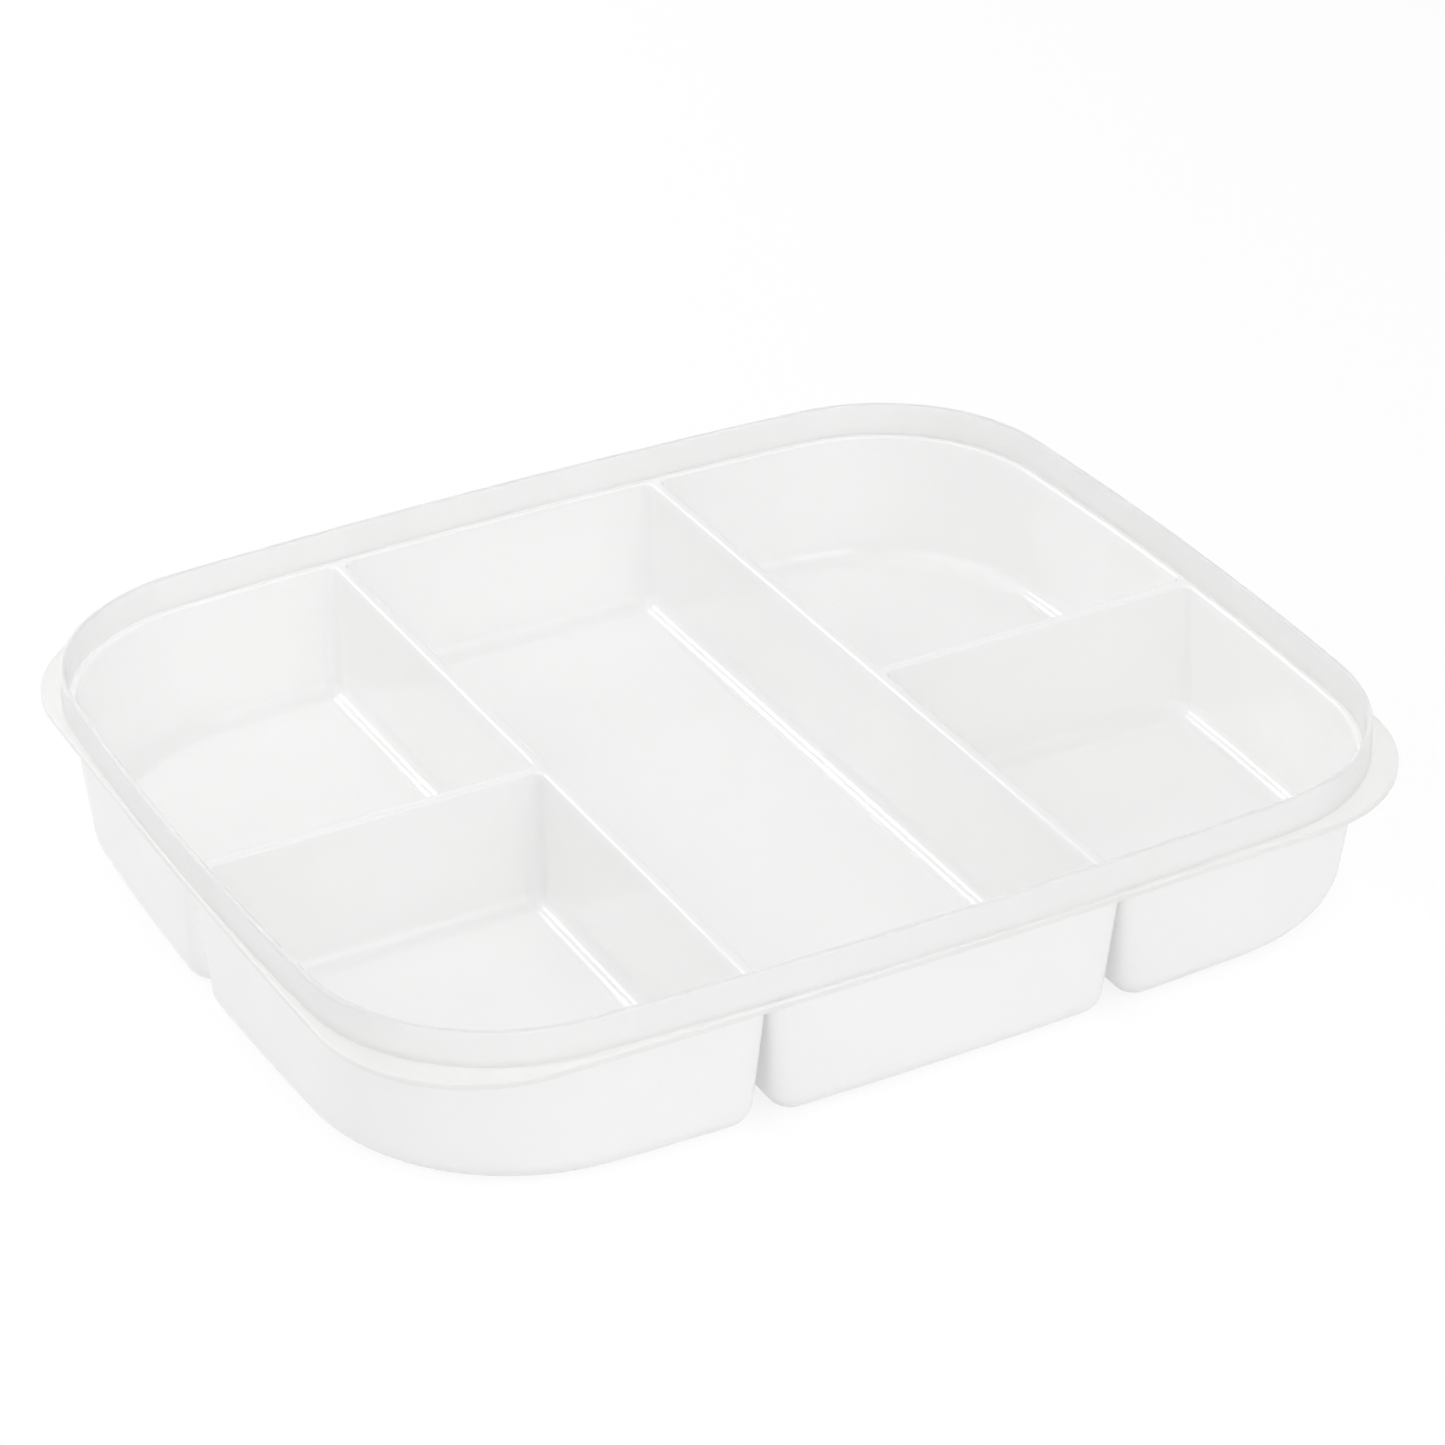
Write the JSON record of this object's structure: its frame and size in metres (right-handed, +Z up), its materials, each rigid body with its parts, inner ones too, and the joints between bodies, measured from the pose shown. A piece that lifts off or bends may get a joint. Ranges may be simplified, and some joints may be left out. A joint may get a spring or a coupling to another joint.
{
  "type": "lunch box",
  "caption": "Open rounded lunch tray of thin translucent plastic: a long centre compartment between side compartments, an upright lid collar and lift tabs at the corners.",
  "frame": {"origin": "middle of the tray at the level of its base, on the surface that it stands on", "axes": "+X along the long side to the right, -Y to the front, +Z up out of the open top"},
  "size_m": [0.217, 0.186, 0.035],
  "materials": {
    "tray_plastic": "satin natural polypropylene, milky and translucent"
  },
  "bodies": {
    "root": {"tub_back_left": "tray_plastic", "tub_front_left": "tray_plastic", "tub_centre": "tray_plastic", "tub_back_right": "tray_plastic", "tub_front_right": "tray_plastic", "long_divider_top_left": "tray_plastic", "long_divider_top_right": "tray_plastic", "cross_divider_top_left": "tray_plastic", "cross_divider_top_right": "tray_plastic", "seat_ring": "tray_plastic", "collar": "tray_plastic", "lift_flange": "tray_plastic"}
  },
  "joints": []
}
